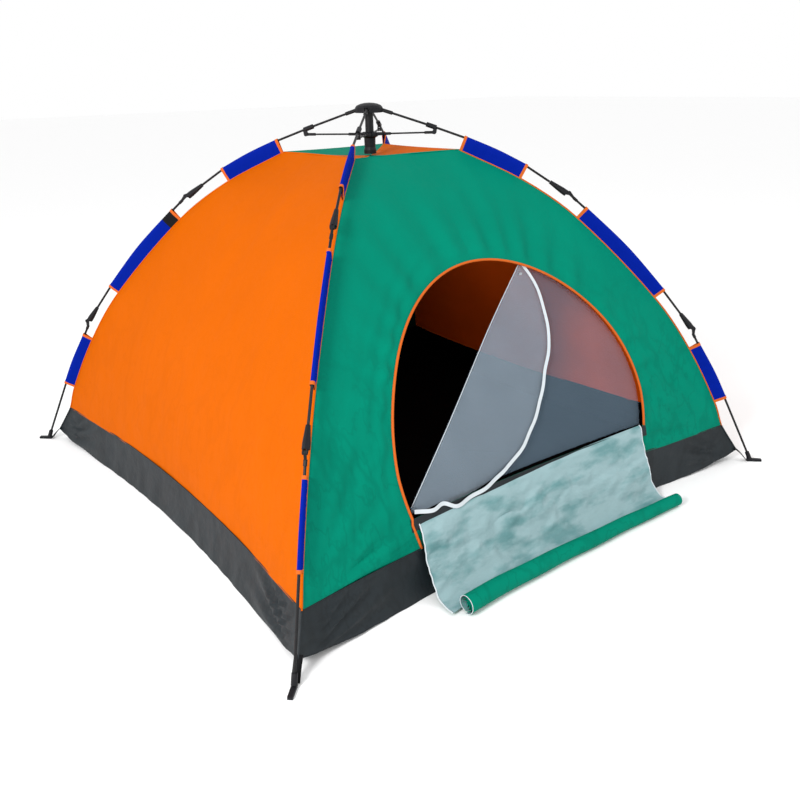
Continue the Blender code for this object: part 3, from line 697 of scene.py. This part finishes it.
def flap():
    """The door's flap, which falls from the sill to the ground. Its end is rolled up, green side out."""
    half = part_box("door_flap")[1][0]
    columns = 120
    profile = smooth_curve(FLAP, 52)
    grid = []
    for j, p in enumerate(profile):
        t = j / (len(profile) - 1)
        row = []
        for i in range(columns + 1):
            u = 2 * i / columns - 1
            x = half * u * (1.0 - 0.012 * math.sin(math.pi * t))
            x -= 0.008 * (1 - u) * math.sin(math.pi * t / 2)
            folds = 0.0060 * math.sin(x * 13 + 4 * t)
            folds += 0.0050 * math.sin(x * 33 - 9 * t + 2 * math.sin(x * 5))
            folds += 0.016 * noise.noise(Vector((x * 5, t * 3, 1.0)))
            folds += 0.012 * (0.3 - abs(noise.noise(Vector((x * 11 + 5 * t, t * 4 - x * 4, 7.0)))))
            folds *= math.sin(math.pi * min(1.0, t * 1.05)) ** 0.8
            edge = 0.012 * math.exp(-((1 - abs(u)) / 0.05) ** 2) * math.sin(9 * t + u) * t
            out = p.x + abs(folds) * 0.7 + edge * 0.3
            z = p.y + folds * 0.8 + 0.006 * t - 0.012 * (1 - u) * (1 - t) ** 2
            row.append(Vector((x, -depth(x, FLAP_Z) - out, max(z, 0.003))))
        grid.append(row)
    obj = add_grid("flap_sheet", [row[::-1] for row in grid], [SILVER, GREEN])
    halves(obj, 0, "door_flap",
           {"thickness": CLOTH, "offset": 1.0, "inside": 1})
    for sign, word in ((-1, "left"), (1, "right")):
        path = [row[0 if sign < 0 else -1] + Vector((sign * 0.001, 0, 0.002)) for row in grid]
        hem = tube("flap_hem_" + word, path, 0.0020, TAPE, 8)
        draw_in(hem)
    roll()


ROLL_RADIUS = 0.030                      # at the left end; the right end is thinner
ROLL_OUT = 0.165                         # how far out from the wall the roll lies
ROLL_TURNS = 3.6


def roll():
    """The flap's rolled end, a spiral that is thicker on the left, with a rim at both ends."""
    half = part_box("door_flap")[1][0]
    columns = 72
    grid = []
    count = 110
    for j in range(count):
        t = j / (count - 1)
        angle = -math.pi / 2 - 2 * math.pi * ROLL_TURNS * t
        row = []
        for i in range(columns + 1):
            u = 2 * i / columns - 1
            x = (half + 0.001) * u + 0.010 * (1 - u)
            size = ROLL_RADIUS * (0.86 - 0.14 * u)
            radius = size * (1 - 0.88 * t)
            sway = 0.0025 * math.sin(x * 7 + 1) + 0.0012 * math.sin(x * 23)
            out = ROLL_OUT + size * 0.6 + sway - radius * math.cos(angle)
            z = 0.0022 + size + radius * math.sin(angle) * (1 + 0.02 * math.sin(x * 31))
            row.append(Vector((x, -depth(x, FLAP_Z) - out, z)))
        grid.append(row)
    obj = add_grid("flap_roll", grid, [GREEN, SILVER])
    halves(obj, 0, None,
           {"thickness": CLOTH, "offset": 0.0, "inside": 1})
    for index, sign, word in ((0, -1, "left"), (-1, 1, "right")):
        path = [row[index] + Vector((sign * 0.0008, 0, 0)) for row in grid[:30]]
        rim = tube("roll_rim_" + word, path, 0.0010, TAPE, 8)
        draw_in(rim)


# ---- sleeves ------------------------------------------------------------------------------------
def seam_gap(p, inward):
    """How far inward from a pole point the canopy's corner seam lies.

    The point and the direction are given as (distance from the tent's axis, height)."""
    reach = 0.02
    while reach < 0.09:
        q = p + inward * reach
        if q.x <= math.sqrt(2) * seam_at(q.y)[0]:
            break
        reach += 0.001
    return reach


def sleeve(name, route, corner, body, node, strapped=False):
    """A flat blue sleeve from the corner seam out round the pole, bound in orange at both ends."""
    sx, sy = CORNERS[corner]
    out = Vector((sx, sy, 0)).normalized()
    across = Vector((0, 0, 1)).cross(out)
    stations = smooth_curve(route, 30)
    length = sum((b - a).length for a, b in zip(stations, stations[1:]))
    binding = 0.010 / length
    marks = [0.0, binding, binding * 1.05]
    marks += [binding * 1.1 + (1 - 2.2 * binding) * k / 26 for k in range(1, 26)]
    marks += [1 - binding * 1.05, 1 - binding, 1.0]
    grid = []
    for t in marks:
        k = t * (len(stations) - 1)
        i = min(int(k), len(stations) - 2)
        p = stations[i].lerp(stations[i + 1], k - i)
        along = (stations[i + 1] - stations[i]).normalized()
        inward = Vector((along.y, -along.x))
        if inward.x > 0:
            inward = -inward
        gap = seam_gap(p, inward)
        bound = t <= binding or t >= 1 - binding
        thick = 0.0012 if bound else 0.0
        ripple = 0.0012 * math.sin(t * 40 + sx + 2 * sy) + 0.0010 * math.sin(t * 93)
        section = []
        for a in range(-90, 91, 30):
            rad = math.radians(a)
            section.append((-0.0062 * math.cos(rad) - thick, (0.0060 + thick) * math.sin(rad)))
        for reach, width in ((0.35, 0.0050), (0.65, 0.0028), (1.0, 0.0012)):
            section.append((gap * reach, width + thick + ripple * reach * (1 - reach) * 4))
        section += [(x, 2 * ripple * x / gap * (1 - x / gap) * 4 - y) for x, y in reversed(section[-3:])]
        ring = []
        for inner, side in section:
            q = p + inward * inner
            ring.append(out * q.x + across * side + Vector((0, 0, q.y)))
        grid.append(ring)
    obj = add_grid(name, grid, [BLUE, BINDING, WEBBING], closed=True)
    spans = len(grid[0])
    for face in obj.data.polygons:
        j = face.index // spans
        if j == 0 or j == len(marks) - 2:
            face.material_index = 1
        elif strapped and 2 <= j <= 4:
            face.material_index = 2
    thicken(obj, 0.0008, offset=1.0)
    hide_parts(node)
    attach(obj, body)


def sleeves():
    """Three to a corner; one middle sleeve at the back carries a band of dark webbing."""
    for corner in CORNERS:
        for level, route in (("upper", UPPER), ("middle", MIDDLE), ("lower", LOWER)):
            sleeve(f"pole_sleeve_{level}_{corner}", route, corner, f"{level}_{corner}",
                   f"sleeve_{level}_{corner}", strapped=(level == "middle" and corner == "back_left"))


def corner_straps():
    """Webbing from the tub's corner down to the foot."""
    for corner, (sx, sy) in CORNERS.items():
        out = Vector((sx, sy, 0)).normalized()
        across = Vector((0, 0, 1)).cross(out)
        grid = []
        for t in [k / 14 for k in range(15)]:
            r = 1.350 + 0.048 * t
            z = 0.052 - 0.048 * t + 0.004 * math.sin(math.pi * t)
            grid.append([out * r + across * (0.0115 * s) + Vector((0, 0, z))
                         for s in (-1, -0.5, 0, 0.5, 1)])
        obj = add_grid("strap_" + corner, grid, [WEBBING])
        thicken(obj, 0.0018, offset=0.0)
        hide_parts("corner_strap_" + corner)
        draw_in(obj)


def frame_materials():
    """Gives the frame's own pieces, which are shown as they are in the CAD, their looks."""
    looks = {"hub_cap": PLASTIC, "centre_tube": POLE, "runner": PLASTIC, "mesh_zip_slider": STEEL}
    for corner in CORNERS:
        for node in ("upper_pole_", "middle_pole_", "lower_pole_", "strut_"):
            looks[node + corner] = POLE
        for node in ("upper_elbow_", "lower_elbow_", "strut_bracket_", "foot_"):
            looks[node + corner] = PLASTIC
    for node, mat in looks.items():
        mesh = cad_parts[node].data
        mesh.materials.clear()
        mesh.materials.append(mat)


# ---- stage --------------------------------------------------------------------------------------
def camera():
    """Seen from the front left corner, a little above the roof."""
    data = bpy.data.cameras.new("camera")
    data.lens = 37.603
    data.sensor_width = 36.0
    obj = bpy.data.objects.new("camera", data)
    yaw, pitch, tilt = math.radians(52.8925), math.radians(-21.1366), math.radians(-1.4556)
    look = Vector((math.cos(pitch) * math.cos(yaw), math.cos(pitch) * math.sin(yaw), math.sin(pitch)))
    right = look.cross(Vector((0, 0, 1))).normalized()
    up = right.cross(look)
    right_rolled = right * math.cos(tilt) + up * math.sin(tilt)
    up_rolled = up * math.cos(tilt) - right * math.sin(tilt)
    turn = Matrix((right_rolled, up_rolled, -look)).transposed()
    obj.matrix_world = Matrix.Translation((-1.77405, -2.48116, 1.38572)) @ turn.to_4x4()
    bpy.context.collection.objects.link(obj)
    bpy.context.scene.camera = obj


def area_light(name, place, aim, size, power):
    data = bpy.data.lights.new(name, "AREA")
    data.energy = power
    data.size = size
    obj = bpy.data.objects.new(name, data)
    obj.location = place
    obj.rotation_euler = (Vector(aim) - Vector(place)).to_track_quat("-Z", "Y").to_euler()
    bpy.context.collection.objects.link(obj)


def stage():
    """A wide pale floor, an even white surround, a light from the left and two weak ones."""
    far = 40
    floor = add("floor", [(-far, -far, 0), (far, -far, 0), (far, far, 0), (-far, far, 0)],
                [(0, 1, 2, 3)], [], smooth=False)
    mat, _, shader = nodes_of("pale_floor")
    shader.inputs["Base Color"].default_value = (0.97, 0.97, 0.97, 1)
    shader.inputs["Roughness"].default_value = 1.0
    floor.data.materials.append(mat)
    world = bpy.data.worlds.new("studio")
    world.use_nodes = True
    world.node_tree.nodes["Background"].inputs["Color"].default_value = (1.0, 1.0, 1.0, 1)
    world.node_tree.nodes["Background"].inputs["Strength"].default_value = 1.0
    bpy.context.scene.world = world
    bpy.context.scene.view_settings.view_transform = "Standard"
    area_light("key", (-4.2, -1.9, 2.9), (0, 0, 0.4), 1.1, 170)
    area_light("fill", (2.6, -4.2, 2.6), (0, 0, 0.5), 1.6, 26)
    area_light("glow_in_the_cabin", (0.0, 0.1, 0.95), (0.9, 0.2, 0.5), 0.25, 0.9)


camera()
stage()
frame_materials()
plain_walls()
front_wall()
roof()
tub()
seams()
door_piping()
net_door()
flap()
sleeves()
corner_straps()
